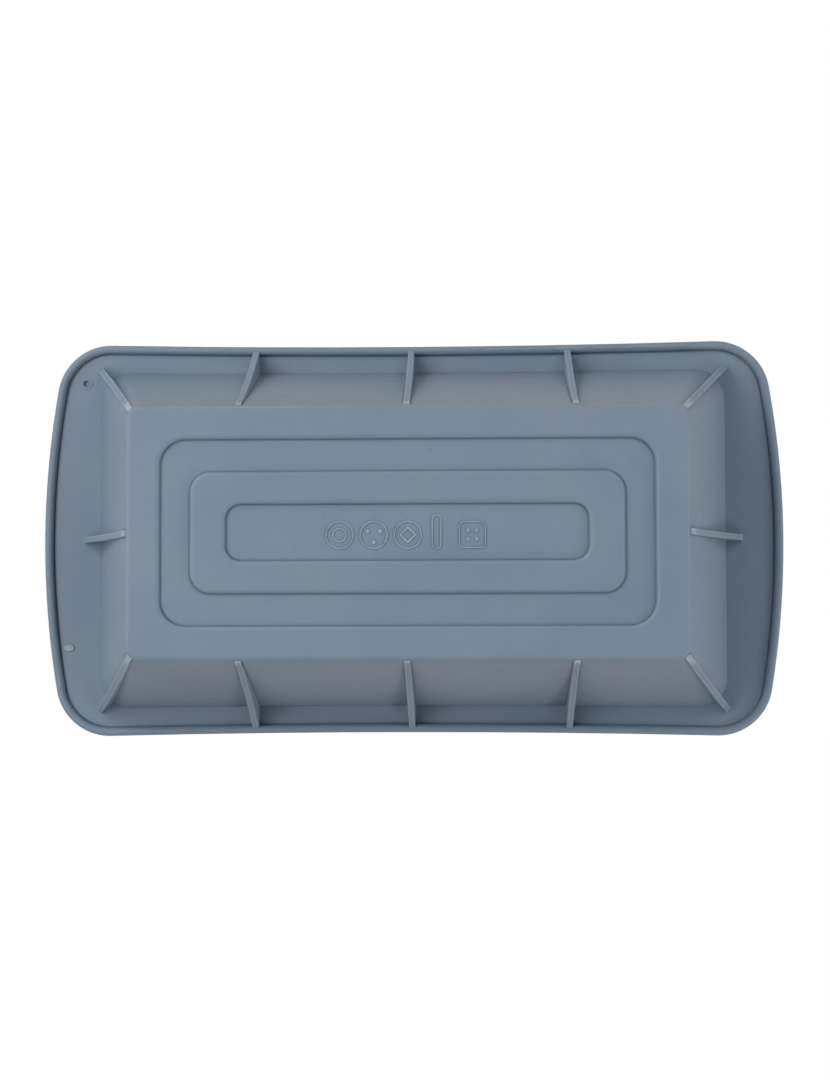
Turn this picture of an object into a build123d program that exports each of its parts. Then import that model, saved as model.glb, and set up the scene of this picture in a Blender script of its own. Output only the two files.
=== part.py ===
from build123d import *

import os
from math import cos, radians, sin

# Silicone loaf mould for soap, standing on its base with the mouth open at the top.
# Millimetres. Origin: middle of the base, on the surface that it stands on.
# X runs along the mould, Y across it. "Front" is the -Y side, "left" is the -X side.
# The mould is one skin of silicone; each of its moulded features is a solid of its own.

# Whole mould
overall_length = 285.0
overall_width = 148.8  # at the middle of the long sides, where the rim is narrowest
overall_height = 60.0
skin = 2.0  # floor and flange thickness
wall_offset = 2.13  # the same skin in the sloping walls, measured level

# Tapered body, outer faces: straight edges at the base, slightly bowed in at the mouth
base_half_length = 99.8
base_half_width = 45.0
base_corner_radius = 5.0
base_edge_radius = 1.6
mouth_half_length = 121.4
mouth_half_width = 64.85
mouth_corner_radius = 11.5
mouth_bow = 0.9

# Cavity corners
cavity_base_corner_radius = 5.0
cavity_mouth_corner_radius = 9.6
cavity_floor_radius = 4.0
cavity_edge_radius = 1.4
growth = (mouth_half_length - base_half_length) / overall_height  # a wall's lean
growth_across = (mouth_half_width - base_half_width) / overall_height

# Rim outline
end_radius = 345.0  # the short ends bow outwards
side_radius = 4960.0  # the long sides bow inwards
rim_corner_radius = 21.0
lip_thickness = 3.2
lip_depth = 4.4  # from the top of the rim to the lowest line of the bead
lip_top_radius = 1.6
lip_foot_radius = 1.55
crease_width = 0.45  # the groove where the bead meets the flange
crease_depth = 0.3

# Steps in the floor: half length, half width and corner radius where each foot lies
step_height = 1.8
step_run = (1.2, 0.4)  # how far a step leans, at the short ends and along the long sides
step_edge_radius = 1.5
outer_step = (87.7, 33.2, 9.0)
middle_step = (77.8, 21.8, 7.8)
inner_step = (64.2, 10.0, 5.2)

# Stiffening ribs
rib_thickness = 2.4
rib_edge_radius = 0.35
rib_foot = (1.1, 1.3)  # out from the base edge, and height
long_rib_spacing = 60.2
long_rib_middle = (58.2, 29.2)  # distance out and height, halfway along the free edge
end_rib_reach = 126.9
end_rib_middle = (112.7, 29.2)
corner_rib_angle = 45.0
corner_rib_start = (98.3, 43.5)  # on the corner of the base
corner_rib_reach = 31.9
corner_rib_middle = (15.5, 29.1)
short_rib_height = 56.0  # where the end and corner ribs stop, just short of the flange

# Where the skin is divided into its named features
wall_cut = (93.0, 0.25)  # distance from the middle at the base, and spread with height
wall_cut_across = (38.5, 0.24)
rim_cut = 111.0
rim_cut_across = 55.3

# Small moulded details
dimple_place = (-126.7, -61.0)
dimple_radius = 1.3
dimple_depth = 0.8
dimple_ring_radius = 2.3
dimple_ring_height = 0.2
gate_place = (-133.0, 41.8)
gate_half_length = 2.1
gate_half_width = 1.35
gate_height = 0.5
mark_height = 0.25
mark_line = 0.5
mark_ring_radius = 5.05
mark_ring_spacing = 12.15
mark_last_ring = 0.4  # along X, from the middle of the floor
mark_row = 1.0  # how far the row lies behind the middle of the floor
mark_inner_radius = 2.6
mark_dot_radius = 0.75
mark_dot_spacing = 3.0
mark_slot_size = (12.3, 3.6)
mark_slot_place = 10.6
mark_square = 9.7
mark_square_corner = 2.0
mark_square_place = 23.3

flange_underside = overall_height - skin
lip_foot = overall_height - lip_depth
left, right = -1, 1
front, back = -1, 1


def rounded_outline(half_length, half_width, radius, bow):
    """Rounded rectangle whose long sides are bowed in by bow at their middle."""
    with BuildSketch() as outline:
        with BuildLine():
            for side in (front, back):
                ThreePointArc(
                    (left * half_length, side * (half_width + bow)),
                    (0, side * half_width),
                    (right * half_length, side * (half_width + bow)),
                )
            for end in (left, right):
                Line(
                    (end * half_length, front * (half_width + bow)),
                    (end * half_length, back * (half_width + bow)),
                )
        make_face()
        fillet(outline.vertices(), radius)
    return outline.sketch


def rim_outline(inset):
    """Plan of the rim, moved inwards by inset: ends bowed out, long sides bowed in."""
    with BuildSketch() as plan:
        with Locations((overall_length / 2 - end_radius, 0)):
            Circle(end_radius - inset)
        with Locations((end_radius - overall_length / 2, 0)):
            Circle(end_radius - inset, mode=Mode.INTERSECT)
        for side in (front, back):
            with Locations((0, side * (overall_width / 2 + side_radius))):
                Circle(side_radius + inset, mode=Mode.SUBTRACT)
        fillet(plan.vertices(), rim_corner_radius - inset)
    return plan.sketch


def body_block():
    """The tapered body as a filled block, up to the top of the rim."""
    with BuildPart() as block:
        with BuildSketch():
            RectangleRounded(2 * base_half_length, 2 * base_half_width, base_corner_radius)
        with BuildSketch(Plane.XY.offset(overall_height)):
            add(rounded_outline(mouth_half_length, mouth_half_width, mouth_corner_radius, mouth_bow))
        loft(ruled=True)
        fillet(block.edges().group_by(Axis.Z)[0], base_edge_radius)
    return block.part


def cavity_block():
    """The space inside the walls, from the floor up through the mouth."""
    with BuildPart() as space:
        with BuildSketch(Plane.XY.offset(skin)):
            RectangleRounded(
                2 * (base_half_length + skin * growth - wall_offset),
                2 * (base_half_width + skin * growth_across - wall_offset),
                cavity_base_corner_radius,
            )
        with BuildSketch(Plane.XY.offset(overall_height)):
            add(
                rounded_outline(
                    mouth_half_length - wall_offset,
                    mouth_half_width - wall_offset,
                    cavity_mouth_corner_radius,
                    mouth_bow,
                )
            )
        loft(ruled=True)
        fillet(space.edges().group_by(Axis.Z)[0], cavity_floor_radius)
    return space.part


def side_plane(side, start, spread=0.0):
    """Upright plane across X, start away from the middle and leaning out by spread."""
    return Plane(origin=(side * start, 0, 0), x_dir=(0, 1, 0), z_dir=(side, 0, -spread))


def face_plane(side, start, spread=0.0):
    """Upright plane across Y, start away from the middle and leaning out by spread."""
    return Plane(origin=(0, side * start, 0), x_dir=(1, 0, 0), z_dir=(0, side, -spread))


def cut_out(whole, beyond=(), within=()):
    """The part of whole that lies beyond some planes and within others."""
    with BuildPart() as piece:
        add(whole)
        for plane in beyond:
            split(bisect_by=plane, keep=Keep.TOP)
        for plane in within:
            split(bisect_by=plane, keep=Keep.BOTTOM)
    return piece.part


def finish(name, piece):
    """Names a finished piece and writes it to its own file."""
    piece.label = name
    export_step(piece, f"parts/{name}.step")


os.makedirs("parts", exist_ok=True)
end_name = {left: "left", right: "right"}
side_name = {front: "front", back: "back"}
body_solid = body_block()


# The skin of the walls and the floor
with BuildPart() as tray:
    add(body_solid)
    add(cavity_block(), mode=Mode.SUBTRACT)
    rim_face = tray.faces().sort_by(Axis.Z)[-1]
    fillet(rim_face.inner_wires()[0].edges(), cavity_edge_radius)
tray_solid = tray.part

wall_planes_x = {end: side_plane(end, *wall_cut) for end in (left, right)}
wall_planes_y = {side: face_plane(side, *wall_cut_across) for side in (front, back)}


# Long walls and end walls
for side in (front, back):
    wall = cut_out(tray_solid, [wall_planes_y[side]], wall_planes_x.values())
    finish(f"long_wall_{side_name[side]}", wall)
for end in (left, right):
    wall = cut_out(tray_solid, [wall_planes_x[end]], wall_planes_y.values())
    finish(f"end_wall_{end_name[end]}", wall)


# Rounded corners between the walls
for side in (front, back):
    for end in (left, right):
        corner = cut_out(tray_solid, [wall_planes_x[end], wall_planes_y[side]])
        finish(f"wall_corner_{side_name[side]}_{end_name[end]}", corner)


def step_outline(step, runs=0.0):
    """Rounded rectangle at a step in the floor, grown outwards by a share of the step's run."""
    half_length, half_width, radius = step
    along, across = runs * step_run[0], runs * step_run[1]
    with BuildSketch() as outline:
        RectangleRounded(
            2 * (half_length + along), 2 * (half_width + across), radius + (along + across) / 2
        )
    return outline.sketch


step_limit = (outer_step[0] + 2 * step_run[0], outer_step[1] + 2 * step_run[0])


# Floor: from below, a recessed ring, a plateau and a recessed middle; the cavity side
# follows them, so the floor keeps its thickness
with BuildPart() as floor_panel:
    add(cut_out(tray_solid, [], [*wall_planes_x.values(), *wall_planes_y.values()]))
    with BuildSketch(Plane.XY.offset(skin)):
        add(step_outline(outer_step, 0.5))
        add(step_outline(middle_step, -0.5), mode=Mode.SUBTRACT)
        add(step_outline(inner_step, 0.5))
    extrude(amount=step_height)
    fillet(floor_panel.edges().group_by(Axis.Z)[-1], step_height / 2)
    for step, cut in ((outer_step, True), (middle_step, False), (inner_step, True)):
        with BuildSketch(Plane.XY):
            add(step_outline(step, 1 if cut else -1))
        with BuildSketch(Plane.XY.offset(step_height)):
            add(step_outline(step))
        loft(ruled=True, mode=Mode.SUBTRACT if cut else Mode.ADD)
    lowest_edges = floor_panel.edges().group_by(Axis.Z)[0]
    step_edges = lowest_edges.filter_by_position(Axis.X, -step_limit[0], step_limit[0])
    step_edges = step_edges.filter_by_position(Axis.Y, -step_limit[1], step_limit[1])
    fillet(step_edges, step_edge_radius)
finish("floor_panel", floor_panel.part)


# Rim: the flange, and the lip around it, a rounded bead with a crease inside
with BuildPart() as flange_ring:
    with BuildSketch(Plane.XY.offset(flange_underside + crease_depth)):
        add(rim_outline(lip_thickness))
    extrude(amount=skin - crease_depth)
    with BuildSketch(Plane.XY.offset(flange_underside)):
        add(rim_outline(lip_thickness + crease_width))
    extrude(amount=crease_depth)
    add(body_solid, mode=Mode.SUBTRACT)

with BuildPart() as lip_ring:
    with BuildSketch(Plane.XY.offset(lip_foot)):
        add(rim_outline(0))
        add(rim_outline(lip_thickness), mode=Mode.SUBTRACT)
    extrude(amount=lip_depth)
    fillet(lip_ring.edges().group_by(Axis.Z)[0], lip_foot_radius)
    top_edges = lip_ring.faces().sort_by(Axis.Z)[-1].outer_wire().edges()
    fillet(top_edges, lip_top_radius)

rim_planes_x = {end: side_plane(end, rim_cut) for end in (left, right)}
rim_planes_y = {side: face_plane(side, rim_cut_across) for side in (front, back)}

for side in (front, back):
    for name, ring in (("flange", flange_ring), ("lip", lip_ring)):
        piece = cut_out(ring.part, [rim_planes_y[side]], rim_planes_x.values())
        finish(f"{name}_{side_name[side]}", piece)
for end in (left, right):
    for name, ring in (("end_grip", flange_ring), ("lip", lip_ring)):
        piece = cut_out(ring.part, [rim_planes_x[end]], rim_planes_y.values())
        finish(f"{name}_{end_name[end]}", piece)

with BuildPart() as rim:
    add(flange_ring.part)
    add(lip_ring.part)
rim_solid = rim.part


# Rim corners; the front left one has a blind dimple with a raised ring around it
for side in (front, back):
    for end in (left, right):
        name = f"rim_corner_{side_name[side]}_{end_name[end]}"
        with BuildPart() as rim_corner:
            add(cut_out(rim_solid, [rim_planes_x[end], rim_planes_y[side]]))
            if (side, end) == (front, left):
                with BuildSketch(Plane.XY.offset(flange_underside)):
                    with Locations(dimple_place):
                        Circle(dimple_ring_radius)
                extrude(amount=-dimple_ring_height)
                ring_edges = rim_corner.edges(Select.LAST).group_by(Axis.Z)[0]
                fillet(ring_edges, dimple_ring_height * 0.8)
                with BuildSketch(Plane.XY.offset(flange_underside - dimple_ring_height)):
                    with Locations(dimple_place):
                        Circle(dimple_radius)
                extrude(amount=dimple_depth + dimple_ring_height, mode=Mode.SUBTRACT)
        finish(name, rim_corner.part)


def rib(plane, points, reach_point, inside):
    """Gusset plate on plane: its free edge is an arc through points, from the base edge up
    to reach_point on the rim; inside is a distance out that lies within the body."""
    with BuildPart() as plate:
        with BuildSketch(plane):
            with BuildLine():
                ThreePointArc(*points)
                Polyline(
                    points[-1],
                    reach_point,
                    (inside, flange_underside),
                    (inside, points[0][1]),
                    points[0],
                )
            make_face()
        extrude(amount=rib_thickness / 2, both=True)
        fillet(plate.edges().filter_by(GeomType.CIRCLE), rib_edge_radius)
        add(body_solid, mode=Mode.SUBTRACT)
        add(rim_solid, mode=Mode.SUBTRACT)
    return plate.part


# Ribs on the long sides, from the base edge to the lip
long_rib_end = overall_width / 2 - lip_thickness / 2
for side in (front, back):
    for place, name in ((left, "left"), (0, "middle"), (right, "right")):
        plane = Plane((place * long_rib_spacing, 0, 0), x_dir=(0, side, 0), z_dir=(side, 0, 0))
        plate = rib(
            plane,
            [
                (base_half_width + rib_foot[0], rib_foot[1]),
                long_rib_middle,
                (long_rib_end, lip_foot + rib_edge_radius),
            ],
            (long_rib_end, flange_underside),
            base_half_width - 5,
        )
        finish(f"long_rib_{side_name[side]}_{name}", plate)

# Ribs on the short ends, from the base edge to the middle of the grip
for end in (left, right):
    plate = rib(
        Plane((0, 0, 0), x_dir=(end, 0, 0), z_dir=(0, -end, 0)),
        [(base_half_length + rib_foot[0], rib_foot[1]), end_rib_middle, (end_rib_reach, short_rib_height)],
        (end_rib_reach, flange_underside),
        base_half_length - 5,
    )
    finish(f"end_rib_{end_name[end]}", plate)

# Diagonal ribs, from the corners of the base to just beyond the corners of the mouth
for side in (front, back):
    for end in (left, right):
        out = (end * cos(radians(corner_rib_angle)), side * sin(radians(corner_rib_angle)), 0)
        foot = (end * corner_rib_start[0], side * corner_rib_start[1], 0)
        plate = rib(
            Plane(foot, x_dir=out, z_dir=(out[1], -out[0], 0)),
            [rib_foot, corner_rib_middle, (corner_rib_reach, short_rib_height)],
            (corner_rib_reach, flange_underside),
            -5,
        )
        finish(f"corner_rib_{side_name[side]}_{end_name[end]}", plate)


def outlined(outer, inner):
    """A line mark: the outer shape less the inner one."""
    with BuildSketch() as mark:
        add(outer)
        add(inner, mode=Mode.SUBTRACT)
    return mark.sketch


# Plain raised marks on the recessed middle of the floor, under the mould: three rings with
# a ring, dots and a tilted square inside, an upright slot, and a square with four dots
ring = outlined(Circle(mark_ring_radius), Circle(mark_ring_radius - mark_line))
small_ring = outlined(Circle(mark_inner_radius), Circle(mark_inner_radius - mark_line))
tilted_square = outlined(
    Rectangle(mark_dot_spacing * 1.5, mark_dot_spacing * 1.5, rotation=45),
    Rectangle(mark_dot_spacing, mark_dot_spacing, rotation=45),
)
slot_mark = outlined(
    SlotOverall(*mark_slot_size, rotation=90),
    SlotOverall(mark_slot_size[0] - 2 * mark_line, mark_slot_size[1] - 2 * mark_line, rotation=90),
)
square_mark = outlined(
    RectangleRounded(mark_square, mark_square, mark_square_corner),
    RectangleRounded(
        mark_square - 2 * mark_line, mark_square - 2 * mark_line, mark_square_corner - mark_line
    ),
)
ring_places = [(mark_last_ring - n * mark_ring_spacing, mark_row) for n in (2, 1, 0)]

with BuildPart() as bottom_marks:
    with BuildSketch(Plane.XY.offset(step_height)):
        with Locations(*ring_places):
            add(ring)
        with Locations(ring_places[0]):
            add(small_ring)
        with Locations(ring_places[1]):
            with PolarLocations(mark_inner_radius, 3, 90):
                Circle(mark_dot_radius)
        with Locations(ring_places[2]):
            add(tilted_square)
        with Locations((mark_slot_place, 0)):
            add(slot_mark)
        with Locations((mark_square_place, mark_row)):
            add(square_mark)
            with GridLocations(mark_dot_spacing, mark_dot_spacing, 2, 2):
                Circle(mark_dot_radius)
    extrude(amount=-mark_height)
finish("bottom_marks", bottom_marks.part)


# Trace of the moulding gate, under the left grip
with BuildPart() as gate_mark:
    with BuildSketch(Plane.XY.offset(flange_underside)):
        with Locations(gate_place):
            Ellipse(gate_half_length, gate_half_width)
    extrude(amount=-gate_height)
    fillet(gate_mark.edges().group_by(Axis.Z)[0], gate_height * 0.7)
finish("gate_mark", gate_mark.part)
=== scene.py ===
from math import cos, radians, sin

import bpy
from mathutils import Matrix, Vector


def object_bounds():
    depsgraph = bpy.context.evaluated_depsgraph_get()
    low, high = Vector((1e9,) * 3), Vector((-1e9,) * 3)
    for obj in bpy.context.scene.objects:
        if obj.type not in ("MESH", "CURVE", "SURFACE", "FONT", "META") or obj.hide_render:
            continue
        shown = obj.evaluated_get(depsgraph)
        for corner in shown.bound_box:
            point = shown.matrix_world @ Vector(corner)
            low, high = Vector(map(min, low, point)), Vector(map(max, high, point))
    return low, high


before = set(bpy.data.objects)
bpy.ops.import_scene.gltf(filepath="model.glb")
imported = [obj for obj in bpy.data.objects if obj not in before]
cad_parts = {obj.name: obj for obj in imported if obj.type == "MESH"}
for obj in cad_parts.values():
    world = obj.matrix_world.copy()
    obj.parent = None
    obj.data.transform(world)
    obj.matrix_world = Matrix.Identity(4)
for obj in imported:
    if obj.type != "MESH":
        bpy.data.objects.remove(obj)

# A blue-grey silicone loaf mould for soap. It stands on its base, mouth up, and the main
# camera looks up at its underside, through a floor that only shows from above. Metres.
MM = 0.001

cad_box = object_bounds()
low, high = Vector(cad_box[0]), Vector(cad_box[1])
middle = (low + high) / 2
scene = bpy.context.scene
scene.view_settings.view_transform = "Standard"

# Camera: under the mould, a little to the right of its middle and towards its back
CAMERA_PLACE = middle + Vector((0.02296, 0.02978, -0.66406))
CAMERA_TILT = (-0.0423, 0.0315, -0.0028)  # radians: about the picture's width, its height, and the view
LENS_MM = 59.79
SENSOR_MM = 36.0

# Silicone: its colours
SKIN_COLOUR = (0.200, 0.266, 0.341, 1)
BLOOM_COLOUR = (0.226, 0.290, 0.362, 1)  # a shade paler, where fine dust clings
DUST_COLOUR = (0.42, 0.46, 0.50, 1)
PIT_COLOUR = (0.085, 0.11, 0.14, 1)
PAINTED_SHADE_COLOUR = (0.053, 0.091, 0.128, 1)  # painted shade in the corners that point inwards
WEAR_AND_HIGHLIGHT_COLOUR = (0.435, 0.535, 0.635, 1)  # pale edges of the ribs and marks: a painted highlight, and on the ribs partly real wear too

# Silicone: its gloss
ROUGHNESS = (0.46, 0.58)
GATE_ROUGHNESS = (0.25, 0.35)  # where the moulding gate was cut off
IOR = 1.45
SHEEN = 0.04
SHEEN_ROUGHNESS = 0.5

# Silicone: patterns, by the size of their blotches and their octaves of detail
CLOUDS = (38 * MM, 3.0)
MOTTLING = (3.5 * MM, 4.0)
GRAIN = (0.45 * MM, 2.0)
CLOUD_RANGE = (0.35, 0.65)  # values of the pattern between which its effect grows
MOTTLE_RANGE = (0.3, 0.7)
WEAR_RANGE = (0.35, 0.6)
BROKEN_UP = (0.5, 1.0)  # mottling weakens the bloom and the wear to half in places
BUMP_STRENGTH = 0.5
CLOUD_BUMP = 0.35 * MM
MOTTLE_BUMP = 0.03 * MM
GRAIN_BUMP = 0.012 * MM

# Silicone: specks, by their spacing, their radius and the share of the places that have one
DUST = (2.2 * MM, 0.26 * MM, 0.045)
DUST_STRENGTH = 0.55
PITS = (2.9 * MM, 0.34 * MM, 0.045)
PIT_STRENGTH = 0.5

# Silicone: painted shade in the crevices. A face that looks along the mould, to its ends, has its own
# depths of painted shade, near the base and higher up, because the short sides of the steps are the
# darkest
CREVICE_REACH = 1.3 * MM
CREVICE_OPENNESS = (0.92, 0.5)  # how open a place is where the painted shade starts, and where it is full
CREVICE_DEPTH = 0.75
END_CREVICE_REACH = 2.8 * MM
END_CREVICE_DEPTH = (3.0, 0.1)
END_CREVICE_HEIGHTS = (3 * MM, 10 * MM)
END_FACE = (0.3, 0.8)  # length of the normal along the mould, on other faces and on those
MARK_SHADE_SHARE = 0.3  # shares of the full painted shade
RIM_SHADE_SHARE = 0.25
RIB_SHADE_SHARE = 0.8

# Silicone: pale edges, from 0 to 1: a painted highlight, and on the ribs partly real wear too
EDGE_REACH = 0.8 * MM
EDGE_OPENNESS = (0.95, 0.6)
RIB_WEAR_AND_HIGHLIGHT = 0.8
MARK_HIGHLIGHT = 0.45
SHELF_HIGHLIGHT = 0.1  # painted highlight on the rounded edges that the mould stands on
SHELF_EDGE = (0.05 * MM, 0.3 * MM, 0.5 * MM, 1.0 * MM)  # heights: start, full, still full, end
OCCLUSION_SAMPLES = 8

# Floor
FLOOR_HALF = 3.0
FLOOR_GAP = 0.6 * MM
FLOOR_COLOUR = (0.85, 0.85, 0.85, 1)
FLOOR_FADE = (0.4, 2.4)

# Lights: softboxes around the underside, by their turn from the right towards the front and
# their rise towards the camera, in degrees, and by their power in watts
SOFTBOX_DISTANCE = 1.1
SOFTBOX_SIZE = 0.55
SOFTBOXES = {
    "right": (0, 22, 2.25),
    "front_right": (45, 48, 2.4),
    "front_left_low": (135, 22, 2.1),
    "front_left": (135, 48, 3.1),
    "left": (180, 48, 3.4),
    "back_left": (225, 48, 1.8),
    "back_right": (315, 22, 2.85),
}
SUN_STRENGTH = 1.9
SUN_SOFTNESS = 20
SUN_FROM = (-0.12, -0.18, 1.0)
ROOM_LIGHT = 0.53
ROOM_COLOUR = (1.05, 1.0, 0.965, 1)
ROOM_EDGE = (-0.25, -0.15)  # the room is dark further below the horizon than this


def look(name, place, rotation):
    data = bpy.data.cameras.new(name)
    data.sensor_fit = "VERTICAL"
    data.sensor_height = SENSOR_MM
    data.lens = LENS_MM
    camera = bpy.data.objects.new(name, data)
    scene.collection.objects.link(camera)
    camera.matrix_world = Matrix.Translation(place) @ rotation.to_4x4()
    return camera


about_x, about_y, roll = CAMERA_TILT
turn = Matrix.Rotation(roll, 3, "Z") @ Matrix.Rotation(about_x, 3, "X") @ Matrix.Rotation(about_y, 3, "Y")
facing_up = Matrix(((1, 0, 0), (0, -1, 0), (0, 0, -1)))
scene.camera = look("camera", CAMERA_PLACE, (facing_up @ turn).transposed())


# Materials
def empty_tree(owner):
    owner.use_nodes = True
    owner.node_tree.nodes.clear()
    return owner.node_tree


def add(tree, kind, inputs=(), **settings):
    """A shader node, with its settings, and with values or other nodes' sockets put in."""
    node = tree.nodes.new("ShaderNode" + kind)
    for name, value in settings.items():
        setattr(node, name, value)
    for name, value in dict(inputs).items():
        if isinstance(value, bpy.types.NodeSocket):
            tree.links.new(value, node.inputs[name])
        else:
            node.inputs[name].default_value = value
    return node


def noise(tree, place, size, detail):
    """Noise between 0 and 1 whose blotches are about size across."""
    inputs = {"Vector": place, "Scale": 1 / size, "Detail": detail}
    return add(tree, "TexNoise", inputs).outputs["Fac"]


def between(tree, value, start, end, to_start=0.0, to_end=1.0):
    """Turns start to end into to_start to to_end, and holds it there outside."""
    inputs = {"Value": value, "From Min": start, "From Max": end, "To Min": to_start, "To Max": to_end}
    return add(tree, "MapRange", inputs).outputs["Result"]


def times(tree, first, second):
    return add(tree, "Math", {0: first, 1: second}, operation="MULTIPLY").outputs[0]


def specks(tree, place, spacing, radius, share):
    """Small round spots around some of the points of a loose grid."""
    points = add(tree, "TexVoronoi", {"Vector": place, "Scale": 1 / spacing})
    spot = between(tree, points.outputs["Distance"], radius / spacing, radius / spacing / 2)
    pick = add(tree, "SeparateColor", {"Color": points.outputs["Color"]}).outputs["Red"]
    chosen = add(tree, "Math", {0: pick, 1: share}, operation="LESS_THAN").outputs[0]
    return times(tree, spot, chosen)


def blended(tree, factor, first, second):
    """first where factor is 0 and second where it is 1."""
    mix = add(tree, "Mix", {"Factor": factor}, data_type="RGBA")
    for socket, colour in ((mix.inputs[6], first), (mix.inputs[7], second)):
        if isinstance(colour, bpy.types.NodeSocket):
            tree.links.new(colour, socket)
        else:
            socket.default_value = colour
    return mix.outputs[2]


def bumped(tree, height, depth, under=None):
    """Adds a height map of the given depth on top of another one's normal."""
    inputs = {"Height": height, "Strength": BUMP_STRENGTH, "Distance": depth}
    if under is not None:
        inputs["Normal"] = under
    return add(tree, "Bump", inputs).outputs["Normal"]


def shut_in(tree, reach, inside=False):
    """1 in the open, and less near inward corners, or near outward ones if seen from inside."""
    settings = {"samples": OCCLUSION_SAMPLES, "inside": inside}
    return add(tree, "AmbientOcclusion", {"Distance": reach}, **settings).outputs["AO"]


def looks_along(tree):
    """1 on faces that look along the mould, to its ends, and 0 on faces that look across it."""
    normal = add(tree, "NewGeometry").outputs["Normal"]
    lengthwise = add(tree, "SeparateXYZ", {"Vector": normal}).outputs["X"]
    size = add(tree, "Math", {0: lengthwise}, operation="ABSOLUTE").outputs[0]
    return between(tree, size, *END_FACE)


def pale_edged(tree, colour, mottle, wear_and_highlight):
    """Paler along the edges that stand out: a painted highlight, and on the ribs partly real wear too."""
    edge = between(tree, shut_in(tree, EDGE_REACH, inside=True), *EDGE_OPENNESS, 0.0, wear_and_highlight)
    paled = times(tree, edge, between(tree, mottle, *WEAR_RANGE, *BROKEN_UP))
    return blended(tree, paled, colour, WEAR_AND_HIGHLIGHT_COLOUR)


def shelf_highlighted(tree, colour, height):
    """Slightly paler around the border that the mould stands on: a painted highlight."""
    start, full, still_full, end = SHELF_EDGE
    rising, falling = between(tree, height, start, full), between(tree, height, end, still_full)
    paled = times(tree, times(tree, rising, falling), SHELF_HIGHLIGHT)
    return blended(tree, paled, colour, WEAR_AND_HIGHLIGHT_COLOUR)


def painted_crevice_shade(tree, colour, height, shade_share):
    """Painted shade: darker in the corners that point inwards, with its own depth and reach on faces that
    look to the ends.
    """
    along = looks_along(tree)
    end_depth = between(tree, height, *END_CREVICE_HEIGHTS, *END_CREVICE_DEPTH)
    depth = between(tree, along, 0.0, 1.0, CREVICE_DEPTH, end_depth)
    reach = between(tree, along, 0.0, 1.0, CREVICE_REACH, END_CREVICE_REACH)
    crevice = times(tree, between(tree, shut_in(tree, reach), *CREVICE_OPENNESS), depth)
    return blended(tree, times(tree, crevice, shade_share), colour, PAINTED_SHADE_COLOUR)


def speckled(tree, colour, place):
    """With a few pale specks of dust and small dark pits."""
    dust = times(tree, specks(tree, place, *DUST), DUST_STRENGTH)
    dusty = blended(tree, dust, colour, DUST_COLOUR)
    pits = times(tree, specks(tree, place, *PITS), PIT_STRENGTH)
    return blended(tree, pits, dusty, PIT_COLOUR)


def silicone(name, roughness=ROUGHNESS, wear_and_highlight=0.0, shade_share=1.0):
    """The mould's one material, with the gloss, pale edges (painted highlight and wear) and share of
    painted shade of a place on it.
    """
    material = bpy.data.materials.new(name)
    tree = empty_tree(material)
    place = add(tree, "TexCoord").outputs["Object"]
    height = add(tree, "SeparateXYZ", {"Vector": place}).outputs["Z"]
    clouds = noise(tree, place, *CLOUDS)
    mottle = noise(tree, place, *MOTTLING)
    grain = noise(tree, place, *GRAIN)

    cloudy = between(tree, clouds, *CLOUD_RANGE)
    bloom = times(tree, cloudy, between(tree, mottle, *MOTTLE_RANGE, *BROKEN_UP))
    colour = blended(tree, bloom, SKIN_COLOUR, BLOOM_COLOUR)
    # pale edges: a painted highlight, and on the ribs partly real wear too
    if wear_and_highlight > 0:
        colour = pale_edged(tree, colour, mottle, wear_and_highlight)
    # painted highlight on the border that the mould stands on
    colour = shelf_highlighted(tree, colour, height)
    # painted shade in the crevices
    colour = painted_crevice_shade(tree, colour, height, shade_share)
    colour = speckled(tree, colour, place)

    waves = bumped(tree, clouds, CLOUD_BUMP)
    unevenness = bumped(tree, mottle, MOTTLE_BUMP, waves)
    surface = {
        "Base Color": colour,
        "Roughness": between(tree, mottle, *MOTTLE_RANGE, *roughness),
        "Normal": bumped(tree, grain, GRAIN_BUMP, unevenness),
        "IOR": IOR,
        "Sheen Weight": SHEEN,
        "Sheen Roughness": SHEEN_ROUGHNESS,
    }
    shader = add(tree, "BsdfPrincipled", surface)
    add(tree, "OutputMaterial", {"Surface": shader.outputs[0]})
    return material


def paint(nodes):
    """Gives each CAD node the finish that goes with the start of its name."""
    # every finish gets painted shade in its crevices, in its own share
    ribs = silicone("silicone_ribs", wear_and_highlight=RIB_WEAR_AND_HIGHLIGHT, shade_share=RIB_SHADE_SHARE)
    rim = silicone("silicone_rim", shade_share=RIM_SHADE_SHARE)
    finishes = {
        ("long_rib_", "end_rib_", "corner_rib_"): ribs,
        ("lip_", "rim_corner_", "flange_", "end_grip_"): rim,
        # the marks' pale lines are a painted highlight
        ("bottom_marks",): silicone("silicone_marks", wear_and_highlight=MARK_HIGHLIGHT, shade_share=MARK_SHADE_SHARE),
        # the gate's pale edges are a painted highlight on its glossy bump
        ("gate_mark",): silicone("silicone_gate", GATE_ROUGHNESS, RIB_WEAR_AND_HIGHLIGHT),
        ("floor_panel", "long_wall_", "end_wall_", "wall_corner_"): silicone("silicone"),
    }
    for name, node in nodes.items():
        for starts, finish in finishes.items():
            if name.startswith(starts):
                node.data.materials.clear()
                node.data.materials.append(finish)


paint(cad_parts)


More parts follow.
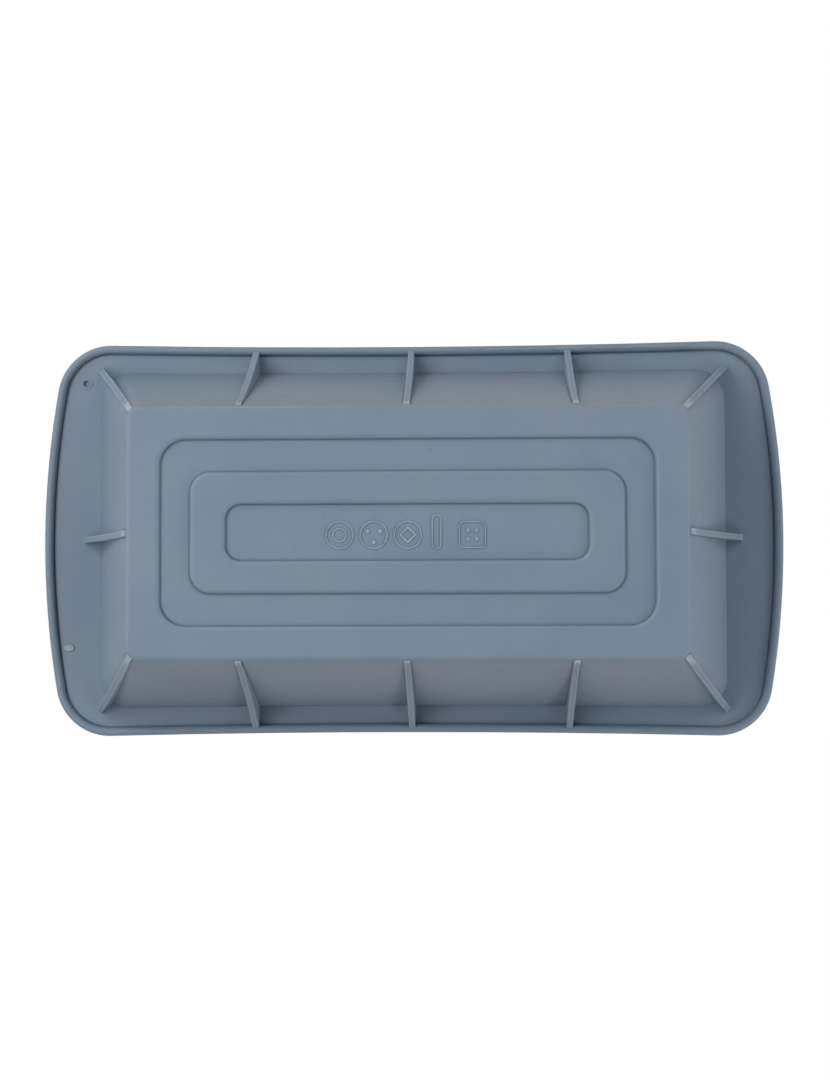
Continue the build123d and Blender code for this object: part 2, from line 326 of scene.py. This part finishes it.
# Floor: pale paper from above, nothing from below, and fading into the white room further out
def floor_material():
    material = bpy.data.materials.new("floor")
    tree = empty_tree(material)
    below = add(tree, "NewGeometry").outputs["Backfacing"]
    place = add(tree, "TexCoord").outputs["Object"]
    distance = add(tree, "VectorMath", {0: place}, operation="LENGTH").outputs["Value"]
    gone = between(tree, distance, *FLOOR_FADE)
    see_through = add(tree, "Math", {0: below, 1: gone}, operation="MAXIMUM").outputs[0]
    paper = add(tree, "BsdfDiffuse", {"Color": FLOOR_COLOUR})
    clear = add(tree, "BsdfTransparent")
    mix = add(tree, "MixShader", {0: see_through, 1: paper.outputs[0], 2: clear.outputs[0]})
    add(tree, "OutputMaterial", {"Surface": mix.outputs[0]})
    return material


def floor():
    """Seen by the camera, but it throws no light, reflection or shade back at the mould."""
    mesh = bpy.data.meshes.new("floor")
    corners = [(-1, -1), (1, -1), (1, 1), (-1, 1)]
    level = low.z - FLOOR_GAP
    mesh.from_pydata([(x * FLOOR_HALF, y * FLOOR_HALF, level) for x, y in corners], [], [(0, 1, 2, 3)])
    mesh.materials.append(floor_material())
    plane = bpy.data.objects.new("floor", mesh)
    scene.collection.objects.link(plane)
    plane.visible_diffuse = False
    plane.visible_glossy = False
    plane.visible_transmission = False
    plane.visible_shadow = False


floor()


# Studio light
def lamp(name, kind, place, energy):
    """A light that shines at the middle of the mould."""
    data = bpy.data.lights.new(name, kind)
    data.energy = energy
    light = bpy.data.objects.new(name, data)
    scene.collection.objects.link(light)
    aim = (middle - place).to_track_quat("-Z", "Y").to_matrix().to_4x4()
    light.matrix_world = Matrix.Translation(place) @ aim
    return data


def softbox(name, turn_degrees, rise_degrees, watts):
    """A round lamp below the mould, as far around it and as far down as the angles say."""
    turned, risen = radians(turn_degrees), radians(rise_degrees)
    way = Vector((cos(risen) * cos(turned), -cos(risen) * sin(turned), -sin(risen)))
    data = lamp(name, "AREA", middle + way * SOFTBOX_DISTANCE, watts)
    data.shape = "DISK"
    data.size = SOFTBOX_SIZE


for box_name, (turned_by, raised_by, power) in SOFTBOXES.items():
    softbox(box_name, turned_by, raised_by, power)
sun = lamp("overhead", "SUN", middle + Vector(SUN_FROM), SUN_STRENGTH)
sun.angle = radians(SUN_SOFTNESS)


def room():
    """Even white light from above and from the sides; the camera sees it as plain white."""
    world = bpy.data.worlds.new("studio")
    scene.world = world
    tree = empty_tree(world)
    way = add(tree, "TexCoord").outputs["Generated"]
    height = add(tree, "SeparateXYZ", {"Vector": way}).outputs["Z"]
    strength = between(tree, height, *ROOM_EDGE, 0.0, ROOM_LIGHT)
    light = add(tree, "Background", {"Color": ROOM_COLOUR, "Strength": strength})
    backdrop = add(tree, "Background", {"Color": (1, 1, 1, 1)})
    seen = add(tree, "LightPath").outputs["Is Camera Ray"]
    mix = add(tree, "MixShader", {0: seen, 1: light.outputs[0], 2: backdrop.outputs[0]})
    add(tree, "OutputWorld", {"Surface": mix.outputs[0]})


room()
